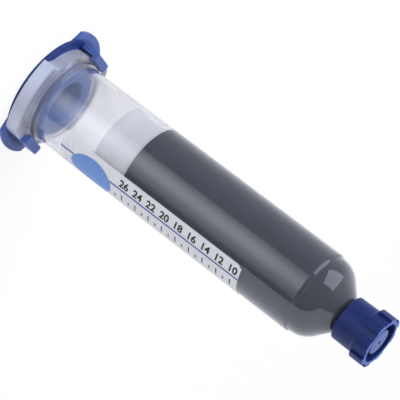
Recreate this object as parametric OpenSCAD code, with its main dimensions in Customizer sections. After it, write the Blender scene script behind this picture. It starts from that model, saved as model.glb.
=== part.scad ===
/* [Barrel] */
// Outer radius of the barrel's tube
tube_r = 12.6; // [12:0.1:13.1]
// Wall thickness of the tube and the dome
wall_t = 1.25; // [0.9:0.05:1.6]
// Length of the barrel from its rear face to the sloping shoulder
tube_len = 97.13; // [85:0.01:130]
// Length of the sloping shoulder
shoulder_len = 1.1; // [0.8:0.05:1.4]
// Step inwards over the shoulder
shoulder_step = 0.49; // [0.3:0.01:0.8]
// Radius of the curve where the dome leaves the shoulder
dome_round_r = 7.8; // [6:0.1:9]
// Slope of the dome's cone, from the barrel's axis
dome_slope = 45.9; // [42:0.1:50]
// Thickness of the collar round the tube where it leaves the flange
root_collar_t = 0.8; // [0.4:0.1:1]
// Height of that collar above the flange
root_collar_h = 1.4; // [1:0.1:3]

/* [Flange] */
// Distance from the axis to the middle of each wing's rim
wing_reach = 18.1; // [17.6:0.1:19]
// Radius of each wing's rim
wing_r = 22; // [20:0.5:26]
// Direction of a wing's middle, from the hook before it
wing_turn = 105.8; // [100:0.2:110]
// Distance from the axis to the short flat that ends each wing
wing_flat = 16.2; // [15.8:0.1:16.6]
// Thickness of the flange
flange_t = 4.6; // [3:0.05:6]
// Radius of the flange between its wings, where the end cap's hooks turn
side_r = 14.75; // [14.2:0.05:15.2]
// Angle from a hook's middle back to the step where the wing behind it ends
stop_angle = 21.5; // [20.5:0.5:24]
// Angle from a hook's middle on to the start of the next wing's ramp
ramp_angle = 60.8; // [56:0.2:63]
// Radius of that ramp
ramp_r = 5.5; // [4.5:0.1:6.5]
// Direction of the hooks at rest, from the X axis
hook_azimuth = -5.8; // [-12:0.2:6]

/* [Outlet] */
// Outer radius of the luer lock's collar
lock_collar_r = 5.2; // [5:0.05:5.3]
// Inner radius of the luer lock's collar
lock_bore_r = 4; // [3.95:0.05:4.1]
// Length of the luer lock's collar above the dome
lock_collar_len = 6; // [5:0.1:6.5]
// Radius of the outlet cone at its tip
luer_tip_r = 1.96; // [1.9:0.01:2]
// Length of the outlet cone above the collar's floor
luer_len = 8.6; // [7.8:0.1:9]
// Radius of the outlet's channel
channel_r = 0.95; // [0.6:0.05:1.2]

/* [Piston] */
// Height of the piston's rear edge above the barrel's rear face
piston_rest = 25.7; // [12:0.5:60]
// Length of the piston's side
piston_len = 11.3; // [8:0.1:16]
// Wall thickness of the piston
piston_wall = 1.3; // [0.9:0.1:2]
// Depth of the piston's waist between its two lips
waist_depth = 0.45; // [0.2:0.05:0.8]
// Length of each wiping lip
lip_len = 1.6; // [1:0.1:2.5]
// Rise of the piston's front face from its edge to its middle
crown_rise = 0.8; // [0.4:0.1:1.5]
// Clearance of the piston's lips in the bore
piston_fit = 0.05; // [0.02:0.01:0.08]
// Clearance round the solder paste
paste_gap = 0.03; // [0.02:0.01:0.06]

/* [Label] */
// Height of the label's rear edge above the barrel's rear face
label_rest = 15.4; // [11:0.1:18]
// Length of the label along the tube
label_len = 65.1; // [40:0.1:66]
// Direction of the label's first edge, from the X axis
label_start = -60.5; // [-80:0.5:-40]
// Angle that the label covers round the tube
label_arc = 120; // [90:1:300]
// Radius of the label's corners
label_corner = 2; // [1:0.1:4]
// Thickness of the label
label_t = 0.09; // [0.05:0.01:0.15]
// Clearance under the label
label_gap = 0.02; // [0.01:0.01:0.04]

/* [End cap] */
// Radius of the end cap's disc
disc_r = 17.5; // [17.2:0.1:18]
// Thickness of the disc
disc_t = 1; // [0.8:0.1:1.5]
// Radius of the two ears
ear_r = 20.1; // [19.8:0.1:21]
// Half of each ear's width at its rim
ear_half = 9.2; // [8.6:0.1:10]
// Half of each ear's width where it leaves the disc
ear_root = 10.2; // [9.6:0.1:11]
// Radius of the corners of each ear's rim
ear_corner = 1; // [0.5:0.1:1.5]
// Width of each hook
hook_w = 9.9; // [8:0.1:10.2]
// Thickness of each hook's wall
hook_t = 1.65; // [1:0.05:2]
// Clearance between a hook's wall and the flange
hook_gap = 0.1; // [0.06:0.01:0.3]
// Thickness of each hook's lip
hook_lip_t = 1.4; // [1.2:0.1:2.4]
// Reach of each lip in over the flange
lip_reach = 1.15; // [0.8:0.05:1.3]
// Clearance between the lip and the flange's front face
lip_rise = 0.1; // [0.06:0.02:0.3]
// Depth that the plug reaches into the barrel
plug_len = 5.6; // [4:0.1:9]
// Clearance of the plug in the bore
plug_fit = 0.05; // [0.02:0.01:0.08]
// Radius of the recess in the plug
recess_r = 6.8; // [5:0.1:7.4]
// Wall thickness of the plug
plug_wall = 1.2; // [0.9:0.1:1.4]
// Clearance between the disc and the barrel's rear face
seat_gap = 0.02; // [0.01:0.01:0.05]

/* [Tip cap] */
// Radius of the tip cap's sleeve at its rear edge
sleeve_r = 6.66; // [6.5:0.02:6.9]
// Growth of the radius from there to the open front, so that it leaves its mould
cap_draft = 0.16; // [0.08:0.02:0.24]
// Wall thickness of the sleeve at its rear edge
sleeve_wall = 1; // [0.8:0.05:1.2]
// Thickness of the step where the sleeve widens into the grip
grip_step = 0.42; // [0.3:0.02:0.7]
// Height that each grip rib stands out of the grip
rib_h = 0.78; // [0.4:0.02:0.9]
// Number of grip ribs
rib_count = 8; // [6:1:12]
// Angle that each rib covers
rib_arc = 23; // [14:1:26]
// Length of the tip cap
tip_cap_len = 11.82; // [11.4:0.02:12.5]
// Length of the grip
grip_len = 5.4; // [4.9:0.1:5.9]
// Length of the grip ribs
rib_len = 4.5; // [3.5:0.1:4.8]
// Wall thickness at the open front
rim_t = 1.05; // [0.6:0.05:1.2]
// Height of the tip cap's rear edge above the dome
sleeve_rise = 1.8; // [1.4:0.1:2.2]
// Radius of the post in the middle
post_r = 3.9; // [3.7:0.05:4.1]
// Depth of the post's face below the open front
post_drop = 0.5; // [0.3:0.1:1]
// Radius of the gate's mark in the middle of the post's face
gate_r = 0.5; // [0.3:0.1:0.8]
// Depth of that mark
gate_depth = 0.3; // [0.2:0.1:0.6]
// Thickness of the web that joins the post to the sleeve
web_t = 1.1; // [0.8:0.1:1.4]
// Radius of the spigot that stands in the luer lock's collar
spigot_r = 3.35; // [3.2:0.05:3.5]
// Clearance of the socket on the outlet cone
luer_fit = 0.04; // [0.02:0.01:0.06]
// Clearance between the web and the luer lock's collar
web_gap = 0.3; // [0.2:0.05:0.5]

/* [Hidden] */
$fn = 96;

// Roundings of the mouldings' edges, and the steps that draw them
edge_r = 0.35;
fine_r = 0.2;
edge_steps = 4;
dome_steps = 14;
ramp_steps = 8;
wing_steps = 16;
side_steps = 16;
// How far cutters pass the faces that they cut
over = 1;
// Slope of the luer cone's side, from the barrel's axis
luer_slope = 0.03;
// Height of the luer lock's floor above the line where its collar leaves the dome
lock_floor_rise = 0.4;
// Room under the tip cap's spigot and over the outlet cone's tip
spigot_room = 0.6;
socket_room = 0.3;
// Width and thickness of the tip cap's lugs, and their clearance in the collar
lug_w = 3;
lug_t = 1.2;
lug_gap = 0.15;

// Heights of the barrel above the end cap's rear face
rear_z = disc_t + seat_gap;
flange_top = rear_z + flange_t;
root_collar_r = tube_r + root_collar_t;
root_collar_top = flange_top + root_collar_h;
shoulder_z = rear_z + tube_len;
bore_r = tube_r - wall_t;

// Outside of the dome, above the sloping shoulder: a curve of dome_round_r, then a cone
dome_r = tube_r - shoulder_step;
dome_z = shoulder_z + shoulder_len;
cone_r = dome_r - dome_round_r * (1 - cos(dome_slope));
cone_z = dome_z + dome_round_r * sin(dome_slope);
function cone_height(r) = cone_z + (cone_r - r) / tan(dome_slope);

// Luer lock: a collar round the outlet cone, which widens by 6 parts in 100
lock_base_z = cone_height(lock_collar_r);
lock_floor_z = lock_base_z + lock_floor_rise;
lock_top_z = lock_base_z + lock_collar_len;
luer_tip_z = lock_floor_z + luer_len;
function luer_r(z) = luer_tip_r + luer_slope * (luer_tip_z - z);

// Inside of the dome, one wall in, under a flat ceiling below the collar's floor
inner_round_r = dome_round_r + shoulder_step - wall_t;
inner_z = dome_z - shoulder_step / sin(dome_slope);
inner_cone_r = bore_r - inner_round_r * (1 - cos(dome_slope));
inner_cone_z = inner_z + inner_round_r * sin(dome_slope);
ceiling_z = lock_floor_z - wall_t;

// Piston, label and the end cap's plug
piston_z = rear_z + piston_rest;
piston_front_z = piston_z + piston_len;
piston_r = bore_r - piston_fit;
label_z = rear_z + label_rest;
label_r = tube_r + label_gap;
plug_r = bore_r - plug_fit;
skirt_in = plug_r - plug_wall;
plug_top = disc_t + plug_len;

// The end cap's hooks round the flange
hook_in = side_r + hook_gap;
hook_out = hook_in + hook_t;
lip_in = hook_in - lip_reach;
lip_z = flange_top + lip_rise;
hook_top = lip_z + hook_lip_t;

// Heights and radii of the tip cap
sleeve_z = cone_height(sleeve_r) + sleeve_rise;
cap_front_z = sleeve_z + tip_cap_len;
grip_z = cap_front_z - grip_len;
function drafted(z) = cap_draft * (z - sleeve_z) / tip_cap_len;
grip_r = sleeve_r + grip_step;
front_r = grip_r + cap_draft;
rib_z = cap_front_z - rib_len;
post_z = cap_front_z - post_drop;
web_z = lock_top_z + web_gap;
web_top = web_z + web_t;
spigot_z = lock_floor_z + spigot_room;
socket_top = luer_tip_z + socket_room;
lug_r = lock_bore_r - lug_gap;

// Points of an arc about [x, y], from one angle to another
function arc(x, y, r, from, to, steps) =
    [for (i = [0:steps]) let (a = from + (to - from) * i / steps) [x + r * cos(a), y + r * sin(a)]];

// Points turned about the origin
function turned(points, a) =
    [for (p = points) [p[0] * cos(a) - p[1] * sin(a), p[0] * sin(a) + p[1] * cos(a)]];

// Profile of a dome: its curve, then its cone down to radius end_r
function dome_profile(start_r, start_z, round_r, end_r) =
    let (cone_start = start_r - round_r * (1 - cos(dome_slope)))
    concat(
        arc(start_r - round_r, start_z, round_r, 0, dome_slope, dome_steps),
        [[end_r, start_z + round_r * sin(dome_slope) + (cone_start - end_r) / tan(dome_slope)]]);

// Space inside the barrel from height low up to the outlet's tip, shrunk by gap
module inside(low, gap) {
    start_r = bore_r - gap;
    round_r = inner_round_r - gap;
    end_r = inner_cone_r - (ceiling_z - inner_cone_z) * tan(dome_slope);
    rotate_extrude()
        polygon(concat(
            [[0, low], [start_r, low]],
            dome_profile(start_r, inner_z, round_r, end_r - gap),
            [[channel_r - gap, ceiling_z - gap], [channel_r - gap, luer_tip_z + over], [0, luer_tip_z + over]]));
}

// Outline of the flange: each half has a side where a hook turns, a ramp and a wing
module flange_outline() {
    // The ramp's circle touches the side's circle from outside
    ramp_far = side_r + ramp_r;
    ramp_c = [ramp_far * cos(ramp_angle), ramp_far * sin(ramp_angle)];
    // The wing's circle is centred behind the axis
    wing_c = (wing_r - wing_reach) * [-cos(wing_turn), -sin(wing_turn)];
    // Where the ramp's circle crosses the wing's circle
    gap = wing_c - ramp_c;
    far = norm(gap);
    along = (far ^ 2 + ramp_r ^ 2 - wing_r ^ 2) / (2 * far);
    aside = sqrt(ramp_r ^ 2 - along ^ 2);
    cross_dir = atan2(gap[1], gap[0]) - atan2(aside, along);
    tip = ramp_c + ramp_r * [cos(cross_dir), sin(cross_dir)];
    wing_from = atan2(tip[1] - wing_c[1], tip[0] - wing_c[0]);
    // The wing ends on a short flat, and a step leads back to the next side
    wing_to = 180 - acos((wing_flat + wing_c[0]) / wing_r);
    step_y = wing_flat * tan(stop_angle);
    half = concat(
        arc(0, 0, side_r, -stop_angle, ramp_angle, side_steps),
        [for (i = [1:ramp_steps - 1])
            let (a = ramp_angle + 180 + (cross_dir - ramp_angle + 180) * i / ramp_steps)
            ramp_c + ramp_r * [cos(a), sin(a)]],
        arc(wing_c[0], wing_c[1], wing_r, wing_from, wing_to, wing_steps),
        [[-wing_flat, step_y]]);
    polygon(concat(turned(half, hook_azimuth), turned(half, hook_azimuth + 180)));
}

module barrel() {
    color([0.87, 0.88, 0.91])
        difference() {
            union() {
                translate([0, 0, rear_z])
                    linear_extrude(flange_t)
                        flange_outline();
                // Root collar, tube, sloping shoulder, dome and the luer lock's collar
                rotate_extrude()
                    polygon(concat(
                        [[0, rear_z], [root_collar_r, rear_z]],
                        arc(root_collar_r - edge_r, root_collar_top - edge_r, edge_r, 0, 90, edge_steps),
                        [[tube_r, root_collar_top], [tube_r, shoulder_z]],
                        dome_profile(dome_r, dome_z, dome_round_r, lock_collar_r),
                        arc(lock_collar_r - fine_r, lock_top_z - fine_r, fine_r, 0, 90, edge_steps),
                        [[luer_r(lock_top_z), lock_top_z], [luer_tip_r, luer_tip_z], [0, luer_tip_z]]));
            }
            inside(rear_z - over, 0);
            // Room for a needle's hub between the collar and the outlet cone
            rotate_extrude()
                polygon([
                    [luer_r(lock_floor_z), lock_floor_z], [lock_bore_r, lock_floor_z],
                    [lock_bore_r, lock_top_z + over], [luer_r(lock_top_z + over), lock_top_z + over]]);
        }
}

module piston() {
    waist_r = piston_r - waist_depth;
    inner_r = waist_r - piston_wall;
    color([0.93, 0.94, 0.96])
        rotate_extrude()
            polygon(concat(
                [[inner_r, piston_z], [piston_r - fine_r, piston_z], [piston_r, piston_z + fine_r],
                 [piston_r, piston_z + lip_len], [waist_r, piston_z + lip_len + waist_depth],
                 [waist_r, piston_front_z - lip_len - waist_depth], [piston_r, piston_front_z - lip_len],
                 [piston_r, piston_front_z - fine_r], [piston_r - fine_r, piston_front_z]],
                [[0, piston_front_z + crown_rise], [0, piston_front_z + crown_rise - piston_wall],
                 [inner_r - edge_r, piston_front_z - piston_wall],
                 [inner_r, piston_front_z - piston_wall - edge_r]]));
}

module solder_paste() {
    color([0.32, 0.33, 0.37])
        difference() {
            intersection() {
                inside(piston_front_z + paste_gap, paste_gap);
                cylinder(r = tube_r, h = luer_tip_z);
            }
            // The piston's crown has pressed its shape into the paste
            translate([0, 0, piston_front_z + paste_gap - crown_rise])
                cylinder(r1 = piston_r * 2, r2 = 0, h = 2 * crown_rise);
        }
}

module label() {
    color([0.9, 0.91, 0.94])
        difference() {
            rotate(label_start)
                rotate_extrude(angle = label_arc)
                    translate([label_r, label_z])
                        square([label_t, label_len]);
            // The corners are cut round, each from its own side
            for (side = [0, 1], end = [0, 1])
                rotate(label_start + side * label_arc)
                    mirror([0, side, 0])
                        translate([tube_r, 0, label_z + end * label_len])
                            mirror([0, 0, end])
                                rotate([90, 0, 90])
                                    linear_extrude(label_corner)
                                        difference() {
                                            translate([-over, -over])
                                                square(label_corner + over);
                                            translate([label_corner, label_corner])
                                                circle(r = label_corner);
                                        }
        }
}

// One of the end cap's two ears with its hook, on the X axis
module ear() {
    from_x = (skirt_in + plug_r) / 2;
    root = [sqrt(disc_r ^ 2 - ear_root ^ 2), ear_root];
    rim = [sqrt(ear_r ^ 2 - ear_half ^ 2), ear_half];
    // The corner's circle touches the ear's side and its rim from inside
    side = (rim - root) / norm(rim - root);
    near = root + ear_corner * [side[1], -side[0]];
    along = -near * side + sqrt((near * side) ^ 2 - near * near + (ear_r - ear_corner) ^ 2);
    corner = near + along * side;
    side_dir = atan2(side[0], -side[1]);
    rim_dir = atan2(corner[1], corner[0]);
    upper = concat(
        arc(0, 0, ear_r, 0, rim_dir, side_steps / 2),
        arc(corner[0], corner[1], ear_corner, rim_dir, side_dir, edge_steps),
        [root, [from_x, ear_root]]);
    linear_extrude(disc_t)
        polygon(concat(upper, [for (i = [len(upper) - 1:-1:1]) [upper[i][0], -upper[i][1]]]));
    // Wall of the hook, and the lip that reaches in over the flange
    translate([0, hook_w / 2, 0])
        rotate([90, 0, 0])
            linear_extrude(hook_w)
                polygon([
                    [hook_in, 0], [hook_out, 0], [hook_out, hook_top - edge_r], [hook_out - edge_r, hook_top],
                    [lip_in + edge_r, hook_top], [lip_in, hook_top - edge_r], [lip_in, lip_z], [hook_in, lip_z]]);
}

module end_cap() {
    tube_out = recess_r + plug_wall;
    roof_z = plug_top - plug_wall;
    color([0.24, 0.31, 0.62])
        union() {
            // Disc and plug, cored from behind so that its walls stay even
            rotate_extrude()
                polygon([
                    [0, 0], [tube_out, 0], [tube_out, roof_z], [skirt_in, roof_z], [skirt_in, 0],
                    [disc_r - fine_r, 0], [disc_r, fine_r], [disc_r, disc_t - fine_r], [disc_r - fine_r, disc_t],
                    [plug_r, disc_t], [plug_r, plug_top - edge_r], [plug_r - edge_r, plug_top],
                    [recess_r + fine_r, plug_top], [recess_r, plug_top - fine_r], [recess_r, disc_t],
                    [0, disc_t]]);
            for (half = [0, 180])
                rotate(hook_azimuth + half)
                    ear();
        }
}

module tip_cap() {
    front_in = front_r - rim_t;
    sleeve_in = sleeve_r - sleeve_wall;
    rib_r = front_r + rib_h;
    color([0.16, 0.2, 0.42]) {
        difference() {
            union() {
                // Sleeve, grip and open front
                rotate_extrude()
                    polygon([
                        [0, web_z], [sleeve_in, web_z], [sleeve_in, sleeve_z],
                        [sleeve_r - edge_r, sleeve_z], [sleeve_r, sleeve_z + edge_r],
                        [sleeve_r + drafted(grip_z), grip_z],
                        [grip_r + drafted(grip_z + grip_step), grip_z + grip_step],
                        [front_r, cap_front_z - fine_r], [front_r - fine_r, cap_front_z],
                        [front_in, cap_front_z], [front_in, web_top], [post_r, web_top],
                        [post_r, post_z - fine_r], [post_r - fine_r, post_z], [0, post_z]]);
                // Spigot with the two lugs that catch the luer lock's thread
                translate([0, 0, spigot_z])
                    cylinder(r = spigot_r, h = web_top - spigot_z);
                intersection() {
                    translate([0, 0, spigot_z])
                        cylinder(r = lug_r, h = lug_t);
                    translate([-lug_r, -lug_w / 2, spigot_z])
                        cube([2 * lug_r, lug_w, lug_t]);
                }
                // Grip ribs
                for (i = [0:rib_count - 1])
                    rotate((i + 0.5) * 360 / rib_count - 90)
                        rotate(-rib_arc / 2)
                            rotate_extrude(angle = rib_arc)
                                polygon([
                                    [front_r - rim_t / 2, rib_z], [rib_r - cap_draft - fine_r, rib_z],
                                    [rib_r - cap_draft, rib_z + fine_r], [rib_r, cap_front_z - fine_r],
                                    [rib_r - fine_r, cap_front_z], [front_r - rim_t / 2, cap_front_z]]);
            }
            // Socket on the outlet cone
            rotate_extrude()
                polygon([
                    [0, spigot_z - over], [luer_r(spigot_z - over) + luer_fit, spigot_z - over],
                    [luer_r(socket_top) + luer_fit, socket_top], [0, socket_top]]);
            // Mark of the gate
            translate([0, 0, post_z - gate_depth])
                cylinder(r = gate_r, h = gate_depth + over);
        }
    }
}

barrel();
piston();
solder_paste();
label();
end_cap();
tip_cap();
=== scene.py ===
"""A clear dispensing syringe of solder paste, standing on its end cap.

The sections follow the order in which such a syringe is filled and closed:
barrel, solder paste, piston, end cap, tip cap and label, then the studio.
Sizes are in millimetres, and the finished meshes are scaled to metres.
"""

from math import acos, asin, atan2, cos, degrees, pi, radians, sin, sqrt, tan

import bmesh
import bpy
from mathutils import Matrix, Vector


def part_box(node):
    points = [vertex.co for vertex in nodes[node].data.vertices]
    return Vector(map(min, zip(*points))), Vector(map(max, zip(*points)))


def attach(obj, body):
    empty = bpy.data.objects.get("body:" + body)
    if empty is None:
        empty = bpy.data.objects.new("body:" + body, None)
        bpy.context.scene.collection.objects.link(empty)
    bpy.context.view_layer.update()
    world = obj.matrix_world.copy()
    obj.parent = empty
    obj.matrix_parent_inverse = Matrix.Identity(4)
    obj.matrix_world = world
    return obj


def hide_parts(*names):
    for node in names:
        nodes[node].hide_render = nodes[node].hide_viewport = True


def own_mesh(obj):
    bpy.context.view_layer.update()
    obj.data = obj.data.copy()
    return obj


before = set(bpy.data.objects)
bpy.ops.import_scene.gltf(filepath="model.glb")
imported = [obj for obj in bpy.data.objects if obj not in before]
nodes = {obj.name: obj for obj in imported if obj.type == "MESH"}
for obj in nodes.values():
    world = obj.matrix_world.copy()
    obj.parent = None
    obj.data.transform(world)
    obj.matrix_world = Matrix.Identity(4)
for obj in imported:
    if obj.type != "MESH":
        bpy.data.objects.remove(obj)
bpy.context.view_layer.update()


# Barrel
# The barrel is moulded in one piece from natural polypropylene: tube, winged
# flange, dome and luer lock. It is clear in its thin wall and milky where it is
# thick, in the flange.

MM = 0.001
# Edges shorter than this are merged
TINY = 0.001
REAR_Z, FLANGE_TOP = 1.02, 5.62
TUBE_R, BORE_R = 12.6, 11.35
WALL = TUBE_R - BORE_R
ROOT_R, ROOT_TOP, ROOT_EASE = 13.4, 7.02, 0.45
SHOULDER_Z, DOME_Z, DOME_R = 98.15, 99.25, 12.11
DOME_CURVE, DOME_SLOPE = 7.8, 45.9
COLLAR_R, COLLAR_BORE, COLLAR_LEN, COLLAR_FLOOR = 5.2, 4.0, 6.0, 0.4
COLLAR_FILLET, FILLET_RISE, COLLAR_EDGE = 0.4, 0.1, 0.2
LUER_TIP_R, LUER_LEN, LUER_TAPER, CHANNEL_R = 1.96, 8.6, 0.06, 0.95
SIDE_R, RAMP_R, RAMP_ANGLE = 14.75, 5.5, 60.8
WING_R, WING_REACH, WING_TURN, WING_FLAT = 22, 18.1, 105.8, 16.2
STOP_ANGLE, HOOK_TURN = 21.5, -5.8
CORNER_R, CORNER_LEAST, FOOT_EDGE, TOP_EDGE = 0.6, 0.05, 0.3, 0.9
BARREL_STEPS, CUT_PAST = 512, 1

CLEAR_TINT, MILK_TINT = "#F8F8FA", "#CAD6F0"
PASSING_TINT, PASSING_AT_FOOT = "#FAFAFC", "#C8CCDA"
ABSORB_TINT, ABSORB_DENSITY = "#002761", 12
RIM_MILK, FACE_MILK, MILK_FROM, MILK_TO = 0.76, 0.14, 13, 17
WALL_MILK, ROOT_MILK, ROOT_MILK_FROM, ROOT_MILK_TO = 0.02, 0.10, 9.0, 6.4
WALL_HAZE, ROOT_HAZE = 0.11, 0.16
WALL_BEND, ROOT_BEND = 1.49, 1.27
ROOT_FROM, ROOT_TO, FOOT_TO = 10.5, 7.5, 6


def linear(code):
    """The linear colour of an sRGB hex value, with full alpha."""
    parts = [int(code[i:i + 2], 16) / 255 for i in (1, 3, 5)]
    return [c / 12.92 if c <= 0.04045 else ((c + 0.055) / 1.055) ** 2.4 for c in parts] + [1]


def node(tree, kind, values=None, **settings):
    """Adds a node. A value that is another node's socket is linked, any other is set."""
    new = tree.nodes.new(kind)
    for name, setting in settings.items():
        setattr(new, name, setting)
    for name, value in (values or {}).items():
        if isinstance(value, bpy.types.NodeSocket):
            tree.links.new(value, new.inputs[name])
        else:
            new.inputs[name].default_value = value
    return new


def material(name):
    """A new material with an empty node tree, and that tree."""
    made = bpy.data.materials.new(name)
    made.use_nodes = True
    made.node_tree.nodes.clear()
    return made, made.node_tree


def dress(piece, made):
    """Gives a piece one material all over."""
    piece.data.materials.clear()
    piece.data.materials.append(made)


def arc(x, y, r, start, end, steps):
    """Points of an arc about (x, y), from one angle to another in degrees."""
    turns = [radians(start + (end - start) * i / steps) for i in range(steps + 1)]
    return [(x + r * cos(a), y + r * sin(a)) for a in turns]


def placed(name, data):
    """A new object in the scene, at the origin."""
    piece = bpy.data.objects.new(name, data)
    bpy.context.scene.collection.objects.link(piece)
    return piece


def added(name, mesh, unit=MM):
    """A piece from a bmesh drawn in the given unit, with its faces outwards."""
    bmesh.ops.recalc_face_normals(mesh, faces=mesh.faces)
    bmesh.ops.scale(mesh, vec=(unit, unit, unit), verts=mesh.verts)
    data = bpy.data.meshes.new(name)
    mesh.to_mesh(data)
    mesh.free()
    return placed(name, data)


def turned(name, outline, steps=256):
    """A solid of revolution about Z from (radius, height) points, from axis to axis."""
    mesh = bmesh.new()
    rings = []
    for radius, height in outline:
        angles = [0] if radius == 0 else [2 * pi * i / steps for i in range(steps)]
        rings.append([mesh.verts.new((radius * cos(a), radius * sin(a), height)) for a in angles])
    for low, high in zip(rings, rings[1:]):
        for i in range(steps):
            j = (i + 1) % steps
            corners = [low[i % len(low)], low[j % len(low)], high[j % len(high)], high[i % len(high)]]
            mesh.faces.new(list(dict.fromkeys(corners)))
    return added(name, mesh)


def stacked(name, outlines):
    """A solid through outlines of equally many points, each with its height, from the foot up."""
    mesh = bmesh.new()
    rings = [[mesh.verts.new((x, y, height)) for x, y in outline] for outline, height in outlines]
    mesh.faces.new(rings[0])
    mesh.faces.new(rings[-1])
    for low, high in zip(rings, rings[1:]):
        for i in range(len(low)):
            j = (i + 1) % len(low)
            mesh.faces.new((low[i], low[j], high[j], high[i]))
    return added(name, mesh)


def settle(piece):
    """Makes what a piece's modifiers give its own plain mesh."""
    shown = piece.evaluated_get(bpy.context.evaluated_depsgraph_get())
    piece.data = bpy.data.meshes.new_from_object(shown)
    piece.modifiers.clear()


def smooth(piece, sharp=20):
    """Smooth shading that stops at edges sharper than an angle and keeps large faces flat."""
    for face in piece.data.polygons:
        face.use_smooth = True
    piece.data.set_sharp_from_angle(angle=radians(sharp))
    even = piece.modifiers.new("even", "WEIGHTED_NORMAL")
    even.keep_sharp = True
    settle(piece)


def trimmed(piece):
    """Merges the tiny edges that a cut, a union or a bevel leaves."""
    mesh = bmesh.new()
    mesh.from_mesh(piece.data)
    bmesh.ops.remove_doubles(mesh, verts=mesh.verts, dist=TINY * MM)
    bmesh.ops.dissolve_degenerate(mesh, edges=mesh.edges, dist=TINY * MM)
    mesh.to_mesh(piece.data)
    mesh.free()


def combine(piece, other, operation):
    """Joins another piece to a piece, or cuts it out, and removes the other."""
    step = piece.modifiers.new("step", "BOOLEAN")
    step.operation = operation
    step.solver = "EXACT"
    step.object = other
    settle(piece)
    bpy.data.objects.remove(other)
    trimmed(piece)


def dome_outline(start_r, start_z, curve_r, end_r):
    """The dome's curve, then its cone in to the radius end_r."""
    curve = arc(start_r - curve_r, start_z, curve_r, 0, DOME_SLOPE, 24)
    last_r, last_z = curve[-1]
    return curve + [(end_r, last_z + (last_r - end_r) / tan(radians(DOME_SLOPE)))]


def corner(before, at, after, r, steps=4):
    """Points that round a corner of an outline by a radius."""
    back, on = (Vector(before) - Vector(at)).normalized(), (Vector(after) - Vector(at)).normalized()
    half_angle = back.angle(on) / 2
    reach = r / tan(half_angle)
    middle = Vector(at) + (back + on).normalized() * r / sin(half_angle)
    start, end = Vector(at) + back * reach - middle, Vector(at) + on * reach - middle
    swept = [start.slerp(end, i / steps) for i in range(steps + 1)]
    return [tuple(middle + spoke) for spoke in swept]


def eased(start_r, end_r, start_z, end_z, steps=24):
    """A smooth step of an outline from one radius to another."""
    points = []
    for i in range(steps + 1):
        share = (1 - cos(pi * i / steps)) / 2
        points.append((start_r + (end_r - start_r) * share, start_z + (end_z - start_z) * i / steps))
    return points


def flange_outline(inset):
    """The flange's outline, set in. Each half: a side where a hook turns, a ramp, a wing, a stop."""
    ramp = (SIDE_R + RAMP_R) * Vector((cos(radians(RAMP_ANGLE)), sin(radians(RAMP_ANGLE))))
    wing = (WING_REACH - WING_R) * Vector((cos(radians(WING_TURN)), sin(radians(WING_TURN))))
    # Where the ramp's circle crosses the wing's circle
    gap = wing - ramp
    ramp_r, wing_r, side_r, flat = RAMP_R + inset, WING_R - inset, SIDE_R - inset, WING_FLAT - inset
    along = (gap.length ** 2 + ramp_r ** 2 - wing_r ** 2) / (2 * gap.length)
    aside = sqrt(ramp_r ** 2 - along ** 2)
    crossing = atan2(gap.y, gap.x) - atan2(aside, along)
    tip = ramp + ramp_r * Vector((cos(crossing), sin(crossing)))
    wing_start = atan2(tip.y - wing.y, tip.x - wing.x)
    wing_end = pi - acos((flat + wing.x) / wing_r)
    side_start = -STOP_ANGLE - degrees(asin(inset / side_r))
    half = arc(0, 0, side_r, side_start, RAMP_ANGLE, 60)
    half += arc(ramp.x, ramp.y, ramp_r, RAMP_ANGLE + 180, degrees(crossing) + 360, 20)[1:-1]
    half += arc(wing.x, wing.y, wing_r, degrees(wing_start), degrees(wing_end), 50)
    # The stop rounds into the other half's side
    stop = (-flat, flat * tan(radians(STOP_ANGLE)) + inset / cos(radians(STOP_ANGLE)))
    next_side = (-side_r * cos(radians(side_start)), -side_r * sin(radians(side_start)))
    half += corner(half[-1], stop, next_side, max(CORNER_R - inset, CORNER_LEAST))
    both = []
    for turn in (radians(HOOK_TURN), radians(HOOK_TURN + 180)):
        both += [(x * cos(turn) - y * sin(turn), x * sin(turn) + y * cos(turn)) for x, y in half]
    return both


# The outside, with the groove between the luer lock's collar and the outlet cone
dome = dome_outline(DOME_R, DOME_Z, DOME_CURVE, COLLAR_R)
collar_z = dome[-1][1]
collar_top, collar_floor = collar_z + COLLAR_LEN, collar_z + COLLAR_FLOOR
tip_z = collar_floor + LUER_LEN


def luer_r(height):
    """The outlet cone's radius at a height. Its taper widens it towards the barrel."""
    return LUER_TIP_R + LUER_TAPER / 2 * (tip_z - height)


outside = [(0, REAR_Z), (ROOT_R, REAR_Z)]
outside += eased(ROOT_R, TUBE_R, ROOT_TOP - ROOT_EASE, ROOT_TOP + ROOT_EASE)
outside += eased(TUBE_R, DOME_R, SHOULDER_Z, DOME_Z) + dome[:-1]
outside += arc(COLLAR_R + COLLAR_FILLET, collar_z + FILLET_RISE, COLLAR_FILLET, 225, 180, 6)
outside += arc(COLLAR_R - COLLAR_EDGE, collar_top - COLLAR_EDGE, COLLAR_EDGE, 0, 90, 6)
outside += [(COLLAR_BORE, collar_top), (COLLAR_BORE, collar_floor), (luer_r(collar_floor), collar_floor)]
outside += [(LUER_TIP_R, tip_z), (0, tip_z)]
barrel = turned("barrel_moulding", outside, BARREL_STEPS)
foot_edge = arc(FOOT_EDGE, REAR_Z + FOOT_EDGE, FOOT_EDGE, 270, 180, 4)
top_edge = arc(TOP_EDGE, FLANGE_TOP - TOP_EDGE, TOP_EDGE, 180, 90, 8)
flange = stacked("flange", [(flange_outline(inset), height) for inset, height in foot_edge + top_edge])
combine(barrel, flange, "UNION")

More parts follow.
